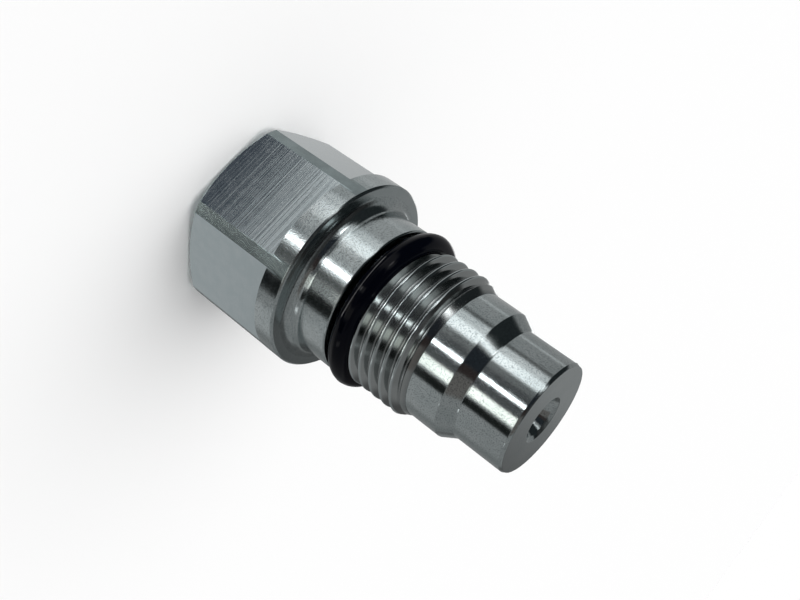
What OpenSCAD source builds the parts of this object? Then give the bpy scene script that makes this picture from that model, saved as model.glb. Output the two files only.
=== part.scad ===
// Screw-in plug that closes the port of a pressure relief valve: a hex-headed steel plug
// turned from round bar, with a stepped nose, and the O-ring that seals it.
// The plug stands on the back of its head, axis along +Z, nose up.
// The origin is at the centre of the back face of the head. All sizes are in millimetres.

/* [Hex head] */
// Size across the hex flats, which takes the spanner
head_flats = 22; // [19:0.5:24]
// Diameter of the round bar, left on the collar and on the six corners of the head
bar_d = 24.6; // [23:0.1:30]
// Length of the milled flats, from the back face to the collar
head_len = 13.1; // [8:0.1:24]
// Diameter of the flat back face, inside the chamfer
back_face_d = 20.8; // [14:0.1:21.8]
// Slope of the back chamfer, measured from the back face
back_chamfer_angle = 30; // [15:1:45]

/* [Collar and shank] */
// Thickness of the round collar
collar_len = 2.8; // [2:0.1:8]
// Chamfer on the front edge of the collar
collar_edge = 0.25; // [0.1:0.05:0.6]
// Diameter of the shank behind the seal
shank_d = 19.1; // [18.6:0.1:20.6]
// Length of the shank, from the collar to the seal groove
shank_len = 5.4; // [2.5:0.1:14]
// Radius of the fillet between the collar and the shank
root_fillet = 1.5; // [0.3:0.1:1.8]
// Edge break on the shank where it meets the groove
groove_edge = 0.15; // [0.05:0.05:0.4]

/* [Seal] */
// Inside diameter of the O-ring
ring_bore_d = 15; // [13.8:0.1:15.4]
// Thickness of the O-ring section
ring_section = 2.65; // [2.3:0.05:3]
// Room for the O-ring along the groove, beyond its own thickness
groove_play = 0.55; // [0.2:0.05:1.5]
// Gap between the O-ring and the front wall of the groove
ring_gap = 0.05; // [0.02:0.01:0.15]
// Gap between the O-ring and the floor of the groove
ring_seat = 0.02; // [0.01:0.01:0.1]

/* [Thread] */
// Major diameter of the thread
thread_d = 18; // [17.8:0.1:18.4]
// Pitch of the thread, right-handed
thread_pitch = 1.5; // [1.25:0.05:1.5]
// Length of the thread, from the groove to the end of its lead chamfer
thread_len = 7.66; // [4:0.02:20]
// Slope of the lead chamfer, measured from the axis
lead_angle = 30; // [20:1:40]
// Turn of the thread about the axis against the hex head
thread_turn = 135; // [0:1:359]

/* [Nose] */
// Diameter of the pilot land in front of the thread
land_d = 16.1; // [14.6:0.1:16.1]
// Length of the pilot land
land_len = 4.1; // [1:0.1:12]
// Length of the cone between the pilot land and the spigot
taper_len = 1.8; // [0.5:0.1:5]
// Diameter of the spigot
spigot_d = 14; // [9:0.1:14.4]
// Length of the spigot, with its edge break
spigot_len = 6.35; // [4:0.05:16]
// Edge break round the nose, along the axis
nose_edge_len = 0.35; // [0.1:0.05:0.8]
// Edge break round the nose, across the axis
nose_edge_wid = 0.2; // [0.1:0.05:0.8]

/* [Centre hole] */
// Diameter of the pilot drill
pilot_d = 2.5; // [1:0.1:3]
// Length of the pilot drilling, before its point
pilot_len = 3; // [1.5:0.1:5]
// Diameter of the centring cone at its mouth
cone_mouth_d = 5; // [3.2:0.1:6]
// Angle of the centring cone
cone_angle = 60; // [60:1:90]
// Width of the edge break round the mouth
mouth_edge = 0.36; // [0.1:0.02:0.6]
// Angle of the drill point
drill_angle = 118; // [110:1:140]

/* [Hidden] */

// roundness of the true circles, and facets in one turn of the thread
$fn = 96;
turn_facets = 72;
// a cut runs this far past the face it leaves
past = 1;

// radii
bar_r = bar_d / 2;
shank_r = shank_d / 2;
land_r = land_d / 2;
spigot_r = spigot_d / 2;
ring_r = ring_bore_d / 2 + ring_section / 2;
floor_r = ring_bore_d / 2 - ring_seat;
back_r = back_face_d / 2;

// stations along the axis, from the back face to the nose
back_chamfer_top = (bar_r - back_r) * tan(back_chamfer_angle);
collar_rear = head_len;
collar_front = collar_rear + collar_len;
groove_rear = collar_front + shank_len;
groove_len = ring_section + groove_play;
groove_front = groove_rear + groove_len;
ring_z = groove_front - ring_gap - ring_section / 2;
thread_end = groove_front + thread_len;
land_end = thread_end + land_len;
spigot_start = land_end + taper_len;
nose_end = spigot_start + spigot_len;

// the fillet stays inside the collar's face and the shank
fillet = min(root_fillet, bar_r - collar_edge - shank_r, shank_len - groove_edge);

// metric thread form: crest an eighth of the pitch wide, 60 degrees between the flanks
thread_r = thread_d / 2;
thread_depth = 0.6134 * thread_pitch;
thread_root_r = thread_r - thread_depth;
flank_slope = 1 / tan(30);
flank_len = thread_depth / flank_slope;
crest_half = thread_pitch / 16;
// the lead chamfer falls from the crests to the roots at the end of the thread
lead_slope = tan(lead_angle);
lead_start = thread_end - thread_depth / lead_slope;
// a crest that the chamfer has taken away keeps this much height, so that its facets stay open
least_crest = 0.01;

// The two edges of one crest, as [radius, height], where its flanks reach the crest or the chamfer.
// Edge -1 is the rear one and edge 1 is the front one of the crest whose middle is at height z.
function crest_edge(z, edge) =
    let (full = z + edge * crest_half,
         cut = (flank_slope * full + edge * -lead_slope * lead_start) / (flank_slope - edge * lead_slope),
         z_cut = full > lead_start ? cut : full,
         r_cut = full > lead_start ? thread_r - (z_cut - lead_start) * lead_slope : thread_r,
         r = max(r_cut, thread_root_r + least_crest))
    [r, full + edge * (thread_r - r) / flank_slope];

// One pitch of the thread form from a root to the next, as [radius, height]
function thread_form(z) = [
    [thread_root_r, z - crest_half - flank_len],
    crest_edge(z, -1),
    crest_edge(z, 1),
    [thread_root_r, z + crest_half + flank_len]];

// Threaded rod from bottom to top, cut square at both ends
module threaded_rod(bottom, top) {
    turns = ceil((top - bottom) / thread_pitch) + 3;
    first = bottom - 1.5 * thread_pitch;
    form = len(thread_form(0));
    rows = form * turns;
    last_column = (turn_facets - 1) * rows;
    // one column of points for each step round the axis; each column climbs a little on the last
    columns = [
        for (i = [0 : turn_facets - 1], k = [0 : turns - 1])
            let (a = 360 * i / turn_facets)
            for (p = thread_form(first + thread_pitch * (k + i / turn_facets)))
                [p[0] * cos(a), p[0] * sin(a), p[1]]];
    low = len(columns);
    high = low + 1;
    tips = [[0, 0, first - thread_pitch], [0, 0, first + thread_pitch * (turns + 1)]];
    // after a whole turn a column meets the first one a pitch higher up
    walls = [
        for (i = [0 : turn_facets - 1])
            let (closing = i == turn_facets - 1,
                 here = i * rows,
                 next = closing ? form : here + rows)
            for (j = [0 : rows - 2 - (closing ? form : 0)])
                each [[here + j, here + j + 1, next + j + 1], [here + j, next + j + 1, next + j]]];
    low_ring = concat([for (i = [0 : turn_facets - 1]) i * rows], [for (j = [form : -1 : 1]) j]);
    high_ring = concat([for (i = [1 : turn_facets]) i * rows - 1],
                       [for (j = [1 : form]) last_column + rows - 1 - j]);
    ring = len(low_ring);
    ends = [
        for (k = [0 : ring - 1])
            let (after = (k + 1) % ring)
            each [[low, low_ring[k], low_ring[after]], [high, high_ring[after], high_ring[k]]]];
    intersection() {
        polyhedron(points = concat(columns, tips), faces = concat(walls, ends), convexity = 10);
        translate([0, 0, bottom])
            cylinder(h = top - bottom, r = thread_r + past);
    }
}

// Outline of the turned part from the axis outwards, as [radius, height], without fillet and thread.
// Its rear end in the thread is buried in the threaded rod.
turned_outline = [
    [0, 0], [back_r, 0], [bar_r, back_chamfer_top],
    [bar_r, collar_front - collar_edge], [bar_r - collar_edge, collar_front],
    [shank_r, collar_front], [shank_r, groove_rear - groove_edge], [shank_r - groove_edge, groove_rear],
    [floor_r, groove_rear], [floor_r, thread_end - past],
    [land_r, thread_end - past], [land_r, land_end],
    [spigot_r, spigot_start], [spigot_r, nose_end - nose_edge_len],
    [spigot_r - nose_edge_wid, nose_end], [0, nose_end]];

// Everything that the lathe makes, apart from the thread
module turned_blank() {
    rotate_extrude()
        difference() {
            union() {
                polygon(turned_outline);
                translate([shank_r - past, collar_front - past])
                    square(fillet + past);
            }
            translate([shank_r + fillet, collar_front + fillet])
                circle(r = fillet);
        }
}

// Six flats milled along the bar; what is left between them are narrow strips of the round bar
module hex_cuts() {
    for (k = [0 : 5])
        rotate([0, 0, 30 + 60 * k])
            translate([head_flats / 2, -bar_r, -past])
                cube([bar_r, bar_d, head_len + past]);
}

// Lathe centre in the nose: edge break, centring cone and blind pilot drilling
module centre_hole() {
    mouth_r = cone_mouth_d / 2;
    pilot_r = pilot_d / 2;
    cone_top = nose_end - mouth_edge;
    pilot_top = cone_top - (mouth_r - pilot_r) / tan(cone_angle / 2);
    pilot_foot = pilot_top - pilot_len;
    rotate_extrude()
        polygon([
            [0, nose_end + past], [mouth_r + mouth_edge + past, nose_end + past],
            [mouth_r, cone_top], [pilot_r, pilot_top], [pilot_r, pilot_foot],
            [0, pilot_foot - pilot_r / tan(drill_angle / 2)]]);
}

module plug_body() {
    color([0.60, 0.62, 0.62]) {
        difference() {
            turned_blank();
            hex_cuts();
            centre_hole();
        }
        rotate([0, 0, thread_turn])
            threaded_rod(groove_front, thread_end);
    }
}

module o_ring() {
    color([0.05, 0.05, 0.06])
        translate([0, 0, ring_z])
            rotate_extrude()
                translate([ring_r, 0])
                    circle(d = ring_section);
}

plug_body();
o_ring();
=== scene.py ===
# %% [markdown]
# # A hex-headed screw plug with its O-ring
# The plug closes the port of a pressure relief valve. It is one piece of bright steel, turned on a
# lathe from round bar: a hex head, a collar, a shank, a groove for the O-ring, a fine thread and a
# stepped nose. It stands on the back of its head, with its axis along Z and its nose up.
#
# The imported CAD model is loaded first. It says where everything is, and every piece made below is
# modelled in its frame, in metres.

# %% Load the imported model
from math import cos, pi, radians, sqrt, tan

import bmesh
import bpy
from mathutils import Matrix, Vector


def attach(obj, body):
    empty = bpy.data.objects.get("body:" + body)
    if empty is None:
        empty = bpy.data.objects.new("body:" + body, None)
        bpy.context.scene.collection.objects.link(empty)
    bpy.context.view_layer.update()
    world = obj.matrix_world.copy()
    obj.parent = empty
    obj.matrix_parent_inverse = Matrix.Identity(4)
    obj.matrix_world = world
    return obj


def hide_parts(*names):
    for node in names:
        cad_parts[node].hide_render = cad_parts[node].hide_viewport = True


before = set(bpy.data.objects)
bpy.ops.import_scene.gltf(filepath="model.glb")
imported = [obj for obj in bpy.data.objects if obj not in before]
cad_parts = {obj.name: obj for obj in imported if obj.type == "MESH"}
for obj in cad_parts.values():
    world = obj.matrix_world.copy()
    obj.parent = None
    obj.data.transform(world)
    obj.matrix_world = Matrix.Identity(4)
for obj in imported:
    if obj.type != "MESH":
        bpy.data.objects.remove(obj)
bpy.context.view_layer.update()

# %% [markdown]
# ## Sizes
# The sizes are those of the CAD model, in millimetres. Stations are measured along the axis from the
# back of the head. A maker would read them off the drawing, so they come first and have names.

# %% Sizes of the plug, in millimetres
MM = 0.001
HEAD_FLATS, BAR_D, BACK_FACE_D, BACK_SLOPE = 22, 24.6, 20.8, 30
COLLAR_REAR, COLLAR_FRONT, COLLAR_EDGE = 13.1, 15.9, 0.25
SHANK_D, ROOT_FILLET = 19.1, 1.5
GROOVE_REAR, GROOVE_FRONT, GROOVE_EDGE, GROOVE_FLOOR_D = 21.3, 24.5, 0.15, 14.96
THREAD_D, PITCH, THREAD_END, LEAD_SLOPE, THREAD_TURN = 18, 1.5, 32.16, 30, 135
LAND_D, LAND_END = 16.1, 36.26
SPIGOT_D, SPIGOT_START, NOSE_END = 14, 38.06, 44.41
NOSE_EDGE_LEN, NOSE_EDGE_WID = 0.35, 0.2
CONE_MOUTH_D, MOUTH_EDGE, CONE_ANGLE, PILOT_D, PILOT_LEN, DRILL_ANGLE = 5, 0.36, 60, 2.5, 3, 118
RING_BORE_D, RING_SECTION, RING_Z = 15, 2.65, 23.125
SMALL_EDGE, INNER_ROUNDING, FLAT_EDGE = 0.045, 0.12, 0.05
ROUND_STEPS, RING_STEPS = 240, 160

# %% [markdown]
# ## The camera
# The camera looks down on the plug from the side, close up, and is rolled so that the nose points to
# the lower right, as in the photograph. Its place comes from fitting the plug's own circles and edges
# to the picture, so it is written as a point and three directions.

# %% The camera
def add_camera(place, right, up, lens):
    bpy.ops.object.camera_add()
    camera = bpy.context.object
    camera.name = "camera"
    right, up = Vector(right).normalized(), Vector(up)
    back = right.cross(up).normalized()
    up = back.cross(right)
    turn = Matrix((right, up, back)).transposed()
    camera.matrix_world = Matrix.Translation(place) @ turn.to_4x4()
    camera.data.sensor_width = 36
    camera.data.lens = lens
    camera.data.clip_start = 0.005
    camera.data.dof.use_dof = False
    bpy.context.scene.camera = camera
    return camera


camera = add_camera(place=(0.02310, -0.09809, 0.06946), right=(-0.65017, 0.18824, 0.73611),
                    up=(-0.72706, -0.43547, -0.53081), lens=43.67)
print("camera at", [round(c * 1000, 1) for c in camera.location], "mm")

# %% [markdown]
# ## Writing shader maths as expressions
# A material's numbers are worked out by nodes. To keep them readable, one small class wraps a node's
# output, so that `1 - mask` or `height * 0.5` adds the Math node itself. Every other node comes from
# its one method, which takes the node's type, its settings and the values or links of its sockets.

# %% The class that wraps a socket
class Link:
    def __init__(self, tree, socket=None):
        self.tree, self.socket = tree, socket

    def node(self, kind, settings=None, inputs=None, out=0):
        made = self.tree.nodes.new(kind)
        for name, value in (settings or {}).items():
            setattr(made, name, value)
        for name, value in (inputs or {}).items():
            if isinstance(value, Link):
                self.tree.links.new(value.socket, made.inputs[name])
            else:
                made.inputs[name].default_value = value
        return Link(self.tree, made.outputs[out] if made.outputs else None)

    def maths(self, operation, *values):
        return self.node("ShaderNodeMath", {"operation": operation}, dict(enumerate(values)))

    def __add__(self, other):
        return self.maths("ADD", self, other)

    def __sub__(self, other):
        return self.maths("SUBTRACT", self, other)

    def __rsub__(self, other):
        return self.maths("SUBTRACT", other, self)

    def __mul__(self, other):
        return self.maths("MULTIPLY", self, other)

    __radd__, __rmul__ = __add__, __mul__

    def step(self, low, high):
        """0 below low, 1 above high, with a smooth rise between."""
        return self.node("ShaderNodeMapRange", {"interpolation_type": "SMOOTHSTEP"},
                         {"Value": self, "From Min": low, "From Max": high})

    def noise(self, scale, detail=2.0, roughness=0.5):
        return self.node("ShaderNodeTexNoise", {"noise_dimensions": "3D"},
                         {"Vector": self, "Scale": scale, "Detail": detail, "Roughness": roughness})

    def mix(self, low, high):
        """The colour low where this value is 0, and high where it is 1."""
        return self.node("ShaderNodeMix", {"data_type": "RGBA"}, {0: self, 6: low, 7: high}, out=2)


def new_material(name):
    material = bpy.data.materials.new(name)
    material.use_nodes = True
    material.node_tree.nodes.clear()
    return material, Link(material.node_tree)


def object_point(start):
    """The place on the piece in millimetres: its vector, and its x, y and z."""
    place = start.node("ShaderNodeTexCoord", out=3)
    point = start.node("ShaderNodeVectorMath", {"operation": "SCALE"}, {0: place, "Scale": 1 / MM})
    x, y, z = (start.node("ShaderNodeSeparateXYZ", None, {0: point}, out=k) for k in range(3))
    return point, x, y, z


def stretched(start, x, y, z):
    return start.node("ShaderNodeCombineXYZ", None, {0: x, 1: y, 2: z})


print("socket maths ready")

# %% [markdown]
# ## The studio
# Bright steel has hardly any colour of its own: it shows the room. A maker's photograph is lit
# through white panels with black cards between them, and each becomes a bright or dark stripe along
# the turned faces. Here a round tent stands far outside the plug and only reflections see it. Each
# card is a range of compass and height on it, so that a stripe stays straight along the whole plug.
# The cards were placed for the photograph's camera; later ones lie on top of earlier ones.
# The floor is plain and pale, and a broad lamp above gives the soft shadow.

# %% The floor and the backdrop
def add_floor():
    bpy.ops.mesh.primitive_plane_add(size=6, location=(0, 0, -0.00005))
    floor = bpy.context.object
    floor.name = "floor"
    material, start = new_material("pale floor")
    paper = start.node("ShaderNodeBsdfDiffuse", None, {"Color": (0.86, 0.86, 0.86, 1)})
    white = start.node("ShaderNodeEmission", None, {"Color": (1, 1, 1, 1), "Strength": 1.0})
    rays = [start.node("ShaderNodeLightPath", out=name)
            for name in ("Is Camera Ray", "Is Glossy Ray", "Is Transmission Ray")]
    seen = rays[0].maths("MAXIMUM", rays[0], rays[1]).maths("MAXIMUM", rays[1], rays[2])
    both = start.node("ShaderNodeMixShader", None, {0: seen * 0.92, 1: paper, 2: white})
    start.node("ShaderNodeOutputMaterial", None, {"Surface": both})
    floor.data.materials.append(material)
    floor.visible_glossy = False
    return floor


def light_world():
    world = bpy.data.worlds.new("studio")
    world.use_nodes = True
    world.node_tree.nodes.clear()
    start = Link(world.node_tree)
    seen = start.node("ShaderNodeLightPath", out="Is Camera Ray")
    white = start.node("ShaderNodeBackground", None, {"Color": (1, 1, 1, 1), "Strength": 1.0})
    soft = start.node("ShaderNodeBackground", None, {"Color": (1, 1, 1, 1), "Strength": 0.6})
    both = start.node("ShaderNodeMixShader", None, {0: seen, 1: soft, 2: white})
    start.node("ShaderNodeOutputWorld", None, {"Surface": both})
    bpy.context.scene.world = world


floor = add_floor()
light_world()
print("floor and backdrop made")

# %% The lamp above
def add_lamp():
    bpy.ops.object.light_add(type="SUN", location=(-0.2, -0.1, 0.4))
    lamp = bpy.context.object
    lamp.name = "broad_lamp"
    lamp.data.angle = radians(70)
    lamp.data.energy = 2.0
    lamp.rotation_euler = (-lamp.location).to_track_quat("-Z", "Y").to_euler()
    lamp.visible_glossy = False
    return lamp


lamp = add_lamp()
print("lamp", lamp.data.energy, "strong and", round(lamp.data.angle * 180 / pi), "degrees wide")

# %% The light tent and its cards
# The compass runs round the axis from the camera's side, in degrees; height is in degrees above level.
CAMERA_SIDE = -75.93
TENT_MIDDLE = 0.022
CARDS = [
    # name, compass from, to, softness, height from, to, softness, brightness, colour
    ("walls", -180, 180, 1, -12, 50, 6, 0.35, (1, 1, 1)),
    ("dim side", 122, 190, 20, -60, 12, 12, 0.27, (0.97, 1, 1)),
    ("ceiling", -180, 180, 1, 49, 95, 8, 0.055, (1, 1, 1)),
    ("ceiling, middle", -180, 180, 1, 76, 95, 8, 0.12, (1, 1, 1)),
    ("ceiling, right side", 36, 150, 16, 46, 82, 8, 0.3, (1, 1, 1)),
    ("black card, high behind", -180, -60, 10, 41, 56, 6, 0.03, (1, 1, 1)),
    ("corner behind", 141, 178, 12, -2, 46, 8, 0.13, (1, 1, 1)),
    ("back panel", 190, 202, 6, -17.5, -2, 3, 1.6, (1, 1, 1)),
    ("thin strip by the left panel", -117, -111, 4, -33, -12, 4, 0.7, (1, 1, 1)),
    ("black card, left", -122, -62, 12, -12, 52, 4, 0.035, (0.8, 0.95, 1)),
    ("card edge by the left panel", -78, -69, 4, -23, -8, 4, 0.18, (1, 1, 1)),
    ("bench shade", -76, 64, 8, -68, -33.1, 2, 0.105, (0.885, 0.98, 1.2)),
    ("left panel, dim half", -69, -44, 9, -34.5, -12, 4, 1.05, (1, 1, 1)),
    ("left panel, bright half", -53, -33.5, 7, -31, -12, 5, 1.95, (1, 1, 1)),
    ("left panel, upper half", -60, -36, 12, -12, 26, 4, 1.15, (1, 1, 1)),
    ("left panel, high", -56, -43, 7, 26, 42, 4, 1.9, (1, 1, 1)),
    ("left panel, corner", -66, -51, 6, 42, 53, 4, 1.2, (1, 1, 1)),
    ("left panel, hot spot", -54, -45, 4, 25, 31.5, 2, 8.0, (1, 0.98, 0.98)),
    ("dark gap", -29, 24, 6, -24, 16, 4, 0.14, (1, 1, 1.03)),
    ("edge of the gap", -31, -19, 8, -24, -12, 4, 0.27, (1, 1, 1)),
    ("dark gap, high", -38, 2, 6, 10, 52, 6, 0.035, (0.8, 0.95, 1.15)),
    ("brown gap, high", 0, 20, 6, 10, 52, 6, 0.04, (1.25, 0.95, 0.9)),
    ("left panel's foot", -46, -19, 8, -33.1, -31.2, 2, 1.45, (1.04, 1, 0.98)),
    ("lit corner in the gap", -34, -7, 5, -29.5, -25, 2, 0.75, (1, 1, 1)),
    ("brown shelf", 19, 62, 8, 24, 50, 6, 0.18, (1.1, 1, 0.95)),
    ("second gap's foot", 10, 60, 5, -36, -24, 3, 0.16, (1, 1, 0.97)),
    ("lamp strip's foot", -10, 10, 5, -29.5, -24.5, 3, 1.2, (1, 1, 1)),
    ("lamp strip's foot, low", -9, 9, 4, -36, -29.5, 2, 0.55, (1, 1, 1)),
    ("right wall's foot", 62, 84, 10, -36, -29, 3, 0.34, (1, 1, 1)),
    ("narrow strip, right", 73, 80, 3, -4, 17, 4, 1.3, (1, 1, 1)),
    ("lamp strip", -2.2, 2.6, 2.4, -33, -12, 4, 10.0, (1, 1, 1)),
    ("lamp strip, low", -2.8, 3.3, 2.6, -62, -34, 4, 2.5, (1, 1, 1)),
    ("lamp strip, upper end", -3.5, 4, 3, -12, 11, 5, 1.3, (1, 1, 1)),
    ("warm window", 23.5, 40.5, 4, -24, -12, 3, 2.5, (1, 0.99, 0.92)),
    ("warm window, upper half", 26, 41, 5, -12, 24, 4, 0.95, (1, 0.99, 0.92)),
    ("warm window's sill", 23, 42, 5, -34, -24, 4, 0.32, (1, 1, 1)),
    ("warm light on the bench", 17, 42, 6, -58, -42, 4, 1.5, (1, 0.97, 0.88)),
    ("black card, right", 45, 61, 4, -24, 9, 5, 0.02, (0.9, 1, 0.95)),
    ("black card's foot", 41.5, 66, 4, -36, -24, 3, 0.015, (0.9, 1, 0.95)),
    ("white edge of the bench", -70, 60, 8, -58, -54, 2, 11.0, (1, 1, 1)),
]


def add_tent():
    bpy.ops.mesh.primitive_uv_sphere_add(segments=96, ring_count=48, radius=1.5,
                                         location=(0, 0, TENT_MIDDLE))
    bpy.ops.object.transform_apply(location=True)
    tent = bpy.context.object
    tent.name = "light_tent"
    material, start = new_material("light tent")
    place = start.node("ShaderNodeTexCoord", out=3)
    x, y, z = (start.node("ShaderNodeSeparateXYZ", None, {0: place}, out=k) for k in range(3))
    compass = x.maths("ARCTAN2", y, x) * (180 / pi) - CAMERA_SIDE
    compass = compass.maths("WRAP", compass, 180, -180)
    behind = compass.maths("WRAP", compass, 360, 0)
    flat = x.maths("SQRT", x * x + y * y)
    height = x.maths("ARCTAN2", z - TENT_MIDDLE, flat) * (180 / pi)
    # below the cards the tent grows lighter towards the bench, and once more right under the plug
    low = (-17 - height) * 0.011 + 0.42
    level = low.maths("MINIMUM", low.maths("MAXIMUM", low, 0.40), 0.62) + (1 - height.step(-68, -60)) * 0.1
    colour = level.node("ShaderNodeCombineColor", None, {0: level, 1: level, 2: level})
    for name, left, right, blur, bottom, top, fade, brightness, tint in CARDS:
        turn = behind if right > 180 else compass
        above = height.step(bottom - fade / 2, bottom + fade / 2)
        mask = above * (1 - height.step(top - fade / 2, top + fade / 2))
        if right - left < 360:
            mask = mask * turn.step(left - blur / 2, left + blur / 2)
            mask = mask * (1 - turn.step(right - blur / 2, right + blur / 2))
        colour = mask.mix(colour, (*(brightness * c for c in tint), 1))
    glow = start.node("ShaderNodeEmission", None, {"Color": colour, "Strength": 1.0})
    start.node("ShaderNodeOutputMaterial", None, {"Surface": glow})
    tent.data.materials.append(material)
    tent.visible_camera = tent.visible_diffuse = tent.visible_shadow = tent.visible_transmission = False
    return tent


tent = add_tent()
print("tent with", len(CARDS), "cards")

# %% [markdown]
# ## Drawing an outline and spinning it
# A lathe makes a round part from its outline, and so does Blender: half the outline is drawn point by
# point beside the axis, each sharp corner gets the small edge break that a file or the tool's nose
# leaves, and the outline is spun round the axis. Starting from a cylinder and scaling its rings would
# give the same faces, but each diameter would then be set twice.

# %% Helpers for the mesh
def deselect():
    bpy.ops.object.select_all(action="DESELECT")


def select_only(piece):
    deselect()
    piece.select_set(True)
    bpy.context.view_layer.objects.active = piece


def edit(piece):
    select_only(piece)
    bpy.ops.object.mode_set(mode="EDIT")


def done():
    bpy.ops.object.mode_set(mode="OBJECT")


def pick(piece, kind, wanted):
    """Selects the points, edges or faces of the piece in edit mode for which wanted(item) is true."""
    mesh = bmesh.from_edit_mesh(piece.data)
    bpy.ops.mesh.select_mode(type={"verts": "VERT", "edges": "EDGE", "faces": "FACE"}[kind])
    bpy.ops.mesh.select_all(action="DESELECT")
    count = 0
    for item in getattr(mesh, kind):
        if wanted(item):
            item.select = True
            count += 1
    mesh.select_flush_mode()
    bmesh.update_edit_mesh(piece.data)
    return count


def draw_outline(name, points):
    """A line of edges through points given as (radius, height) in millimetres, in the plane of X and Z."""
    deselect()
    bpy.ops.mesh.primitive_plane_add(size=MM)
    piece = bpy.context.object
    piece.name = name
    piece.data.name = name
    edit(piece)
    bpy.ops.mesh.select_mode(type="VERT")
    bpy.ops.mesh.merge(type="CENTER")
    at = Vector((0, 0, 0))
    for k, (radius, height) in enumerate(points):
        to = Vector((radius, 0, height)) * MM
        if k == 0:
            bpy.ops.transform.translate(value=to - at)
        else:
            bpy.ops.mesh.extrude_vertices_move(TRANSFORM_OT_translate={"value": to - at})
        at = to
    done()
    return piece


def round_corners(piece, corners, width, segments):
    """Rounds the outline at the corners given as (radius, height), in millimetres."""
    edit(piece)
    near = [Vector((r, 0, h)) * MM for r, h in corners]
    count = pick(piece, "verts", lambda v: any((v.co - c).length < 1e-6 for c in near))
    bpy.ops.mesh.bevel(offset=width * MM, segments=segments, affect="VERTICES", clamp_overlap=True)
    done()
    return count


def spin(piece, steps):
    edit(piece)
    bpy.ops.mesh.select_all(action="SELECT")
    bpy.ops.mesh.spin(steps=steps, angle=2 * pi, center=(0, 0, 0), axis=(0, 0, 1))
    bpy.ops.mesh.select_all(action="SELECT")
    bpy.ops.mesh.remove_doubles(threshold=1e-7)
    bpy.ops.mesh.normals_make_consistent(inside=False)
    done()


def apply_modifier(piece, kind, **settings):
    select_only(piece)
    bpy.ops.object.modifier_add(type=kind)
    modifier = piece.modifiers[-1]
    for name, value in settings.items():
        setattr(modifier, name, value)
    bpy.ops.object.modifier_apply(modifier=modifier.name)


def combine(piece, tool, operation):
    """Joins the tool's solid to the piece, cuts it away or keeps what both share, and removes the tool."""
    apply_modifier(piece, "BOOLEAN", object=tool, operation=operation, solver="EXACT")
    bpy.data.objects.remove(tool)


def measure(piece):
    points = [v.co for v in piece.data.vertices]
    size = [round((max(p[k] for p in points) - min(p[k] for p in points)) / MM, 2) for k in range(3)]
    print(piece.name, "has", len(piece.data.polygons), "faces and measures", size, "mm")


print("mesh helpers ready")

# %% [markdown]
# ## The turned blank
# The outline runs from the middle of the back face round the head, the collar with its fillet, the
# shank, the groove, the core under the thread, the pilot land, the cone and the spigot. It ends down
# the centre hole, which the lathe's running centre leaves in the nose of a long turned part.

# %% The outline of the blank
bar_r, shank_r, floor_r = BAR_D / 2, SHANK_D / 2, GROOVE_FLOOR_D / 2
land_r, spigot_r, back_r = LAND_D / 2, SPIGOT_D / 2, BACK_FACE_D / 2
mouth_r, pilot_r = CONE_MOUTH_D / 2, PILOT_D / 2
back_top = (bar_r - back_r) * tan(radians(BACK_SLOPE))
cone_top = NOSE_END - MOUTH_EDGE
pilot_top = cone_top - (mouth_r - pilot_r) / tan(radians(CONE_ANGLE / 2))
pilot_foot = pilot_top - PILOT_LEN
drill_tip = pilot_foot - pilot_r / tan(radians(DRILL_ANGLE / 2))
core_end = THREAD_END - 1
BLANK = [
    (0, 0), (back_r, 0), (bar_r, back_top), (bar_r, COLLAR_FRONT - COLLAR_EDGE),
    (bar_r - COLLAR_EDGE, COLLAR_FRONT), (shank_r, COLLAR_FRONT), (shank_r, GROOVE_REAR - GROOVE_EDGE),
    (shank_r - GROOVE_EDGE, GROOVE_REAR), (floor_r, GROOVE_REAR), (floor_r, core_end), (land_r, core_end),
    (land_r, LAND_END), (spigot_r, SPIGOT_START), (spigot_r, NOSE_END - NOSE_EDGE_LEN),
    (spigot_r - NOSE_EDGE_WID, NOSE_END), (mouth_r + MOUTH_EDGE, NOSE_END), (mouth_r, cone_top),
    (pilot_r, pilot_top), (pilot_r, pilot_foot), (0, drill_tip)]

plug = draw_outline("turned_plug", BLANK)
round_corners(plug, [(shank_r, COLLAR_FRONT)], ROOT_FILLET, 12)
round_corners(plug, BLANK[1:5] + BLANK[6:8] + BLANK[11:12] + BLANK[13:17],
              SMALL_EDGE, 3)
round_corners(plug, [(spigot_r, SPIGOT_START), (floor_r, GROOVE_REAR)], INNER_ROUNDING, 4)
print("outline of", len(plug.data.vertices), "points")

# %% Spin the blank
spin(plug, ROUND_STEPS)
measure(plug)

# %% [markdown]
# ## The hex
# The hex is milled on the bar after turning: six passes, each leaving a flat 11 mm from the axis, with
# narrow strips of the round bar between them. The 30 degree chamfer at the back then leaves its curved
# edge on each flat. A ring with a six-sided hole, cut away from the blank, does all six passes at once.

# %% Mill the six flats
def hex_cutter():
    deselect()
    low, high = -2.0, COLLAR_REAR
    middle, depth = (low + high) / 2 * MM, (high - low) * MM
    bpy.ops.mesh.primitive_cylinder_add(vertices=64, radius=20 * MM, depth=depth, location=(0, 0, middle))
    ring = bpy.context.object
    bpy.ops.object.transform_apply(location=True)
    corner = HEAD_FLATS / 2 / cos(pi / 6) * MM
    bpy.ops.mesh.primitive_cylinder_add(vertices=6, radius=corner, depth=depth + 2 * MM,
                                        location=(0, 0, middle))
    hexagon = bpy.context.object
    edit(hexagon)
    bpy.ops.transform.rotate(value=pi / 6, orient_axis="Z", center_override=(0, 0, middle))
    done()
    select_only(hexagon)
    bpy.ops.object.transform_apply(location=True, rotation=True)
    combine(ring, hexagon, "DIFFERENCE")
    return ring


combine(plug, hex_cutter(), "DIFFERENCE")
measure(plug)


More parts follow.
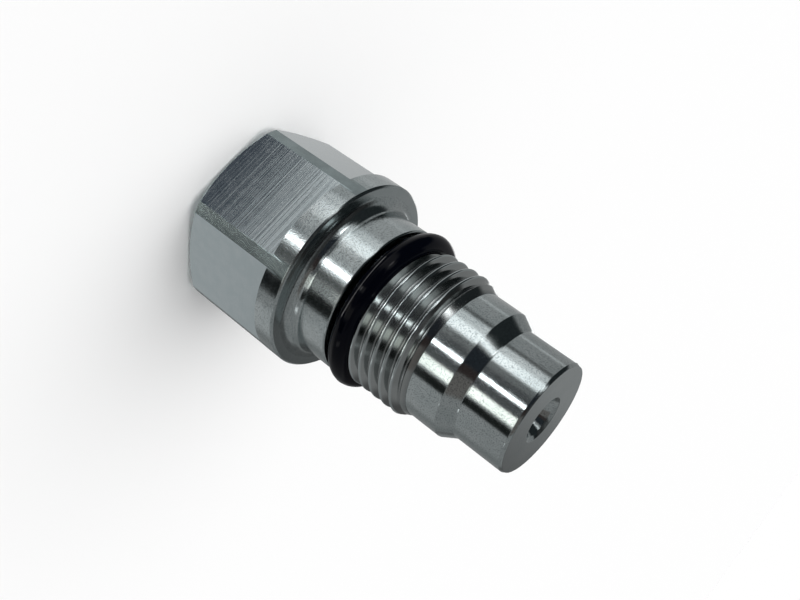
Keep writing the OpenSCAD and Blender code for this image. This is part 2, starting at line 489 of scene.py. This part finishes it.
# %% Break the edges of the flats
def on_flat(face):
    """A milled flat of the head: it stands upright, 11 mm from the axis."""
    centre = face.calc_center_median()
    return (abs(face.normal.z) < 1e-3 and centre.z < COLLAR_REAR * MM
            and abs(face.normal.dot(centre) - HEAD_FLATS / 2 * MM) < 1e-5)


def flat_edge(edge):
    if len(edge.link_faces) != 2 or max(v.co.z for v in edge.verts) > (COLLAR_REAR - 0.001) * MM:
        return False
    return on_flat(edge.link_faces[0]) != on_flat(edge.link_faces[1])


edit(plug)
count = pick(plug, "edges", flat_edge)
bpy.ops.mesh.bevel(offset=FLAT_EDGE * MM, segments=2, affect="EDGES", clamp_overlap=True)
done()
print("broke", count, "short edges round the flats")

# %% [markdown]
# ## The thread
# An M18 x 1.5 thread is one groove wound round the shank. One turn of its form, from a root over the
# crest to the next root, is drawn and wound up by the Screw modifier, a pitch for each turn. The real
# thread is cut through a chamfer that was turned first, so its last crests fade into that cone. The
# wound rod is cut square at both ends, and only what lies inside a chamfered blank is kept.

# %% Wind the thread
thread_r = THREAD_D / 2
thread_depth = 0.6134 * PITCH
root_r = thread_r - thread_depth
crest_half = PITCH / 16
flank_len = thread_depth * tan(radians(30))
first_crest = GROOVE_FRONT + PITCH * (-0.5 - THREAD_TURN / 360)
TURNS, TURN_STEPS, CREST_ROUNDING = 7, 160, 0.088
form = [(root_r, first_crest - PITCH / 2), (root_r, first_crest - crest_half - flank_len),
        (thread_r, first_crest - crest_half), (thread_r, first_crest + crest_half),
        (root_r, first_crest + crest_half + flank_len), (root_r, first_crest + PITCH / 2)]
rod = draw_outline("thread", form)
round_corners(rod, form[2:4], CREST_ROUNDING, 4)
round_corners(rod, [form[1], form[4]], INNER_ROUNDING, 4)
apply_modifier(rod, "SCREW", axis="Z", angle=2 * pi, screw_offset=PITCH * MM, iterations=TURNS,
               steps=TURN_STEPS, render_steps=TURN_STEPS, use_merge_vertices=True, merge_threshold=1e-7)
measure(rod)


# %% Cut the rod square and keep what the chamfer leaves
def cut_square(piece, height, keep_above):
    edit(piece)
    bpy.ops.mesh.select_all(action="SELECT")
    bpy.ops.mesh.bisect(plane_co=(0, 0, height * MM), plane_no=(0, 0, 1), use_fill=True,
                        clear_inner=keep_above, clear_outer=not keep_above, threshold=1e-8)
    done()


edit(rod)
bpy.ops.mesh.select_all(action="SELECT")
bpy.ops.mesh.remove_doubles(threshold=1e-7)
done()
cut_square(rod, GROOVE_FRONT, keep_above=True)
cut_square(rod, THREAD_END, keep_above=False)
edit(rod)
bpy.ops.mesh.select_all(action="SELECT")
bpy.ops.mesh.normals_make_consistent(inside=False)
done()
lead_start = THREAD_END - thread_depth / tan(radians(LEAD_SLOPE))
sleeve = draw_outline("chamfered_blank", [
    (0, GROOVE_FRONT - 1), (thread_r + 0.01, GROOVE_FRONT - 1), (thread_r + 0.01, lead_start),
    (root_r - 0.3, THREAD_END + 0.31 / tan(radians(LEAD_SLOPE))), (0, THREAD_END + 0.6)])
spin(sleeve, ROUND_STEPS)
combine(rod, sleeve, "INTERSECT")
measure(rod)
combine(plug, rod, "UNION")
measure(plug)

# %% [markdown]
# ## Smooth walls and crisp edges
# The walls are shaded smooth, and every edge over 28 degrees stays sharp. Large faces are given more
# weight than the small ones of the edge breaks, so that a flat stays flat up to its edge.

# %% Shade the plug
def shade(piece, angle):
    edit(piece)
    bpy.ops.mesh.select_all(action="SELECT")
    bpy.ops.mesh.remove_doubles(threshold=2e-7)
    bpy.ops.mesh.dissolve_degenerate(threshold=1e-7)
    done()
    select_only(piece)
    bpy.ops.object.shade_smooth_by_angle(angle=radians(angle))
    apply_modifier(piece, "WEIGHTED_NORMAL", mode="FACE_AREA_WITH_ANGLE", weight=80, keep_sharp=True)


SHARP_EDGE = 28
shade(plug, SHARP_EDGE)
measure(plug)

# %% [markdown]
# ## The O-ring
# The ring is moulded rubber, round in section, and sits in the groove against the wall nearer the
# thread. Its mould closes round the middle, where a hairline of flash stays on the outside. Its section
# is drawn as a circle, the line of flash is pulled out of it, and the section is spun round the axis.

# %% Model the O-ring
def make_ring():
    deselect()
    centre = (RING_BORE_D + RING_SECTION) / 2
    bpy.ops.mesh.primitive_circle_add(vertices=40, radius=RING_SECTION / 2 * MM)
    ring = bpy.context.object
    ring.name = ring.data.name = "rubber_ring"
    edit(ring)
    bpy.ops.mesh.select_all(action="SELECT")
    bpy.ops.transform.rotate(value=pi / 2, orient_axis="X", center_override=(0, 0, 0))
    bpy.ops.transform.translate(value=(centre * MM, 0, RING_Z * MM))
    outermost = (centre + RING_SECTION / 2) * MM
    pick(ring, "verts", lambda v: abs(v.co.x - outermost) < 1e-6)
    bpy.ops.mesh.bevel(offset=0.05 * MM, segments=2, affect="VERTICES")
    pick(ring, "verts", lambda v: v.co.x > outermost - 0.004 * MM)
    bpy.ops.transform.translate(value=(0.02 * MM, 0, 0))
    done()
    spin(ring, RING_STEPS)
    select_only(ring)
    bpy.ops.object.shade_smooth_by_angle(angle=radians(60))
    return ring


ring = make_ring()
measure(ring)

# %% [markdown]
# ## Bright steel from the lathe
# Turned steel is pale grey and mirror-like, but the tool leaves fine rings round the axis and the
# stock a faint grain. Both are only a few micrometres high. They are put in as height, so that the
# stripes of the studio get their ragged edges from the surface itself. Noise squeezed along the axis
# makes the rings. It would also work as an anisotropic shader, but that shows no single ring.

# %% Heights of the tool marks, in micrometres
STEEL = (0.43, 0.475, 0.48, 1)


def ring_marks(start, x, y, z):
    """Rings round the axis: a few deep ones, many fine ones."""
    coarse = stretched(start, x * 0.12, y * 0.12, z * 5).noise(1.1, 2)
    fine = stretched(start, x * 0.35, y * 0.35, z * 16).noise(1.3, 1)
    return coarse * 1.2 + fine * 0.45


def grain(start, x, y, z):
    return stretched(start, x, y, z * 1.2).noise(7, 2, 0.55)


def finish_steel(start, height, roughness, colour):
    """The common end of each steel: colour, roughness and the height in micrometres."""
    bump = start.node("ShaderNodeBump", None, {"Strength": 1.0, "Distance": 1e-6, "Height": height})
    steel = start.node("ShaderNodeBsdfPrincipled", None, {
        "Base Color": colour, "Metallic": 1.0, "Roughness": roughness, "Normal": bump})
    start.node("ShaderNodeOutputMaterial", None, {"Surface": steel})


def scuffed(start, point, light, dark):
    """Steel colour, a little darker in patches where oil and handling have dulled it."""
    patches = point.noise(0.35, 3, 0.55).step(0.35, 0.7)
    return patches.mix(light, dark)


def turned_steel(name, ring_height, grain_height, roughness, specks):
    material, start = new_material(name)
    point, x, y, z = object_point(start)
    height = ring_marks(start, x, y, z) * ring_height + grain(start, x, y, z) * grain_height
    dull = point.noise(1.2, 3).step(0.3, 0.75) * 0.05 + roughness
    pits = point.noise(8, 2, 0.6).step(0.51, 0.62) * specks
    colour = scuffed(start, point, (0.445, 0.49, 0.495, 1), (0.40, 0.45, 0.455, 1))
    finish_steel(start, height, dull, pits.mix(colour, (0.2, 0.23, 0.235, 1)))
    return material


turned = turned_steel("turned steel", ring_height=0.9, grain_height=4, roughness=0.08, specks=0.7)
sanded = turned_steel("sanded steel", ring_height=1.5, grain_height=8, roughness=0.10, specks=0.8)
print("made", turned.name, "and", sanded.name)

# %% [markdown]
# The end mill that cut the flats crossed them again and again, and left straight lines across the bar.
# They are deeper than the rings, so the flats look brushed and change from dark to light along them.

# %% The milled flats, the thread and the end faces
def milled_steel(name):
    material, start = new_material(name)
    point, x, y, z = object_point(start)
    strokes = stretched(start, x * 0.004, y * 0.004, z * 2.6).noise(1.0, 4, 0.75)
    scratches = stretched(start, x * 0.02, y * 0.02, z * 13).noise(1.0, 2, 0.6)
    height = strokes * 10.0 + scratches * 2.5 + grain(start, x, y, z) * 1.0
    tone = point.noise(0.7, 3).step(0.3, 0.75)
    colour = tone.mix((0.39, 0.45, 0.465, 1), (0.42, 0.475, 0.49, 1))
    finish_steel(start, height, tone * 0.04 + 0.09, colour)
    return material


def bar_steel(name):
    """The strips of the drawn bar between the flats, never machined: duller, with a fine grain."""
    material, start = new_material(name)
    point, x, y, z = object_point(start)
    height = stretched(start, x, y, z * 0.3).noise(5.0, 3, 0.6) * 12 + grain(start, x, y, z) * 5
    colour = scuffed(start, point, (0.31, 0.37, 0.375, 1), (0.24, 0.285, 0.29, 1))
    finish_steel(start, height, 0.25, colour)
    return material


def thread_steel(name):
    material, start = new_material(name)
    point, x, y, z = object_point(start)
    height = grain(start, x, y, z) * 2.5 + stretched(start, x * 0.3, y * 0.3, z * 14).noise(1.0, 2) * 0.8
    radius = x.maths("SQRT", x * x + y * y)
    flank = 1 - radius.step(thread_r - 0.22, thread_r - 0.06)
    root = 1 - radius.step(root_r + 0.02, root_r + 0.3)
    # the flanks, and the root most of all, are painted darker than the crest: painted shade in the valleys
    # of the thread
    painted_valley_shade = root.mix((0.345, 0.368, 0.367, 1), (0.278, 0.298, 0.3, 1))
    finish_steel(start, height, root * 0.1 + 0.12, flank.mix(STEEL, painted_valley_shade))
    return material


def faced_steel(name):
    """An end face or shoulder: rings round the middle, at a step for each turn of the facing tool."""
    material, start = new_material(name)
    point, x, y, z = object_point(start)
    radius = x.maths("SQRT", x * x + y * y)
    rings = stretched(start, radius * 7, x * 0.08, y * 0.08).noise(1.0, 3, 0.55)
    height = rings * 1.6 + grain(start, x, y, z) * 1.0
    finish_steel(start, height, 0.2, scuffed(start, point, STEEL, (0.40, 0.45, 0.455, 1)))
    return material


milled, bar, cut_thread, faced = (milled_steel("milled steel"), bar_steel("drawn bar steel"),
                                  thread_steel("thread steel"), faced_steel("faced steel"))
print("made", milled.name, bar.name, cut_thread.name, faced.name)


# %% Give each face of the plug its finish
def finish_of(face):
    centre = face.center / MM
    radius = sqrt(centre.x ** 2 + centre.y ** 2)
    outward = (face.normal.x * centre.x + face.normal.y * centre.y) / max(radius, 1e-6)
    if abs(face.normal.z) < 1e-3 and centre.z < COLLAR_REAR and abs(outward) > 0.85 and abs(
            face.normal.dot(centre) - HEAD_FLATS / 2) < 0.01:
        return milled
    if abs(face.normal.z) > 0.999 and radius > pilot_r:
        return faced
    if centre.z < COLLAR_REAR and centre.z > 0.05 and radius > back_r:
        return bar
    if GROOVE_FRONT < centre.z < THREAD_END and radius > 7.6:
        return cut_thread
    return sanded if COLLAR_REAR < centre.z < GROOVE_REAR else turned


FINISHES = [turned, sanded, milled, bar, cut_thread, faced]
for finish in FINISHES:
    plug.data.materials.append(finish)
counts = dict.fromkeys((finish.name for finish in FINISHES), 0)
for face in plug.data.polygons:
    finish = finish_of(face)
    face.material_index = FINISHES.index(finish)
    counts[finish.name] += 1
print("faces of each finish:", counts)

# %% [markdown]
# ## Black rubber
# The ring is nitrile rubber: near black, smooth from the mould and thinly oiled, so it shows narrow
# highlights. A faint unevenness keeps them from looking like plastic.

# %% The rubber
def black_rubber():
    material, start = new_material("black rubber")
    point, x, y, z = object_point(start)
    height = point.noise(2.2, 3) * 2.5 + point.noise(14, 2) * 0.7
    dust = point.noise(3.0, 4, 0.6).step(0.55, 0.8)
    bump = start.node("ShaderNodeBump", None, {"Strength": 1.0, "Distance": 1e-6, "Height": height})
    rubber = start.node("ShaderNodeBsdfPrincipled", None, {
        "Base Color": dust.mix((0.0006, 0.0009, 0.0024, 1), (0.0012, 0.0017, 0.0034, 1)),
        "Roughness": dust * 0.08 + 0.05, "Specular IOR Level": 0.08, "Normal": bump})
    start.node("ShaderNodeOutputMaterial", None, {"Surface": rubber})
    return material


ring.data.materials.append(black_rubber())
print("ring finished")

# %% [markdown]
# ## Fit the pieces to the imported model
# Both pieces stand for the CAD node of the same part, which is hidden, and ride on the one body.

# %% Hand the pieces over
for piece, node, slot in ((plug, "plug_body", "steel"), (ring, "o_ring", "seal")):
    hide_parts(node)
    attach(piece, "root")

bpy.context.scene.view_settings.view_transform = "Standard"
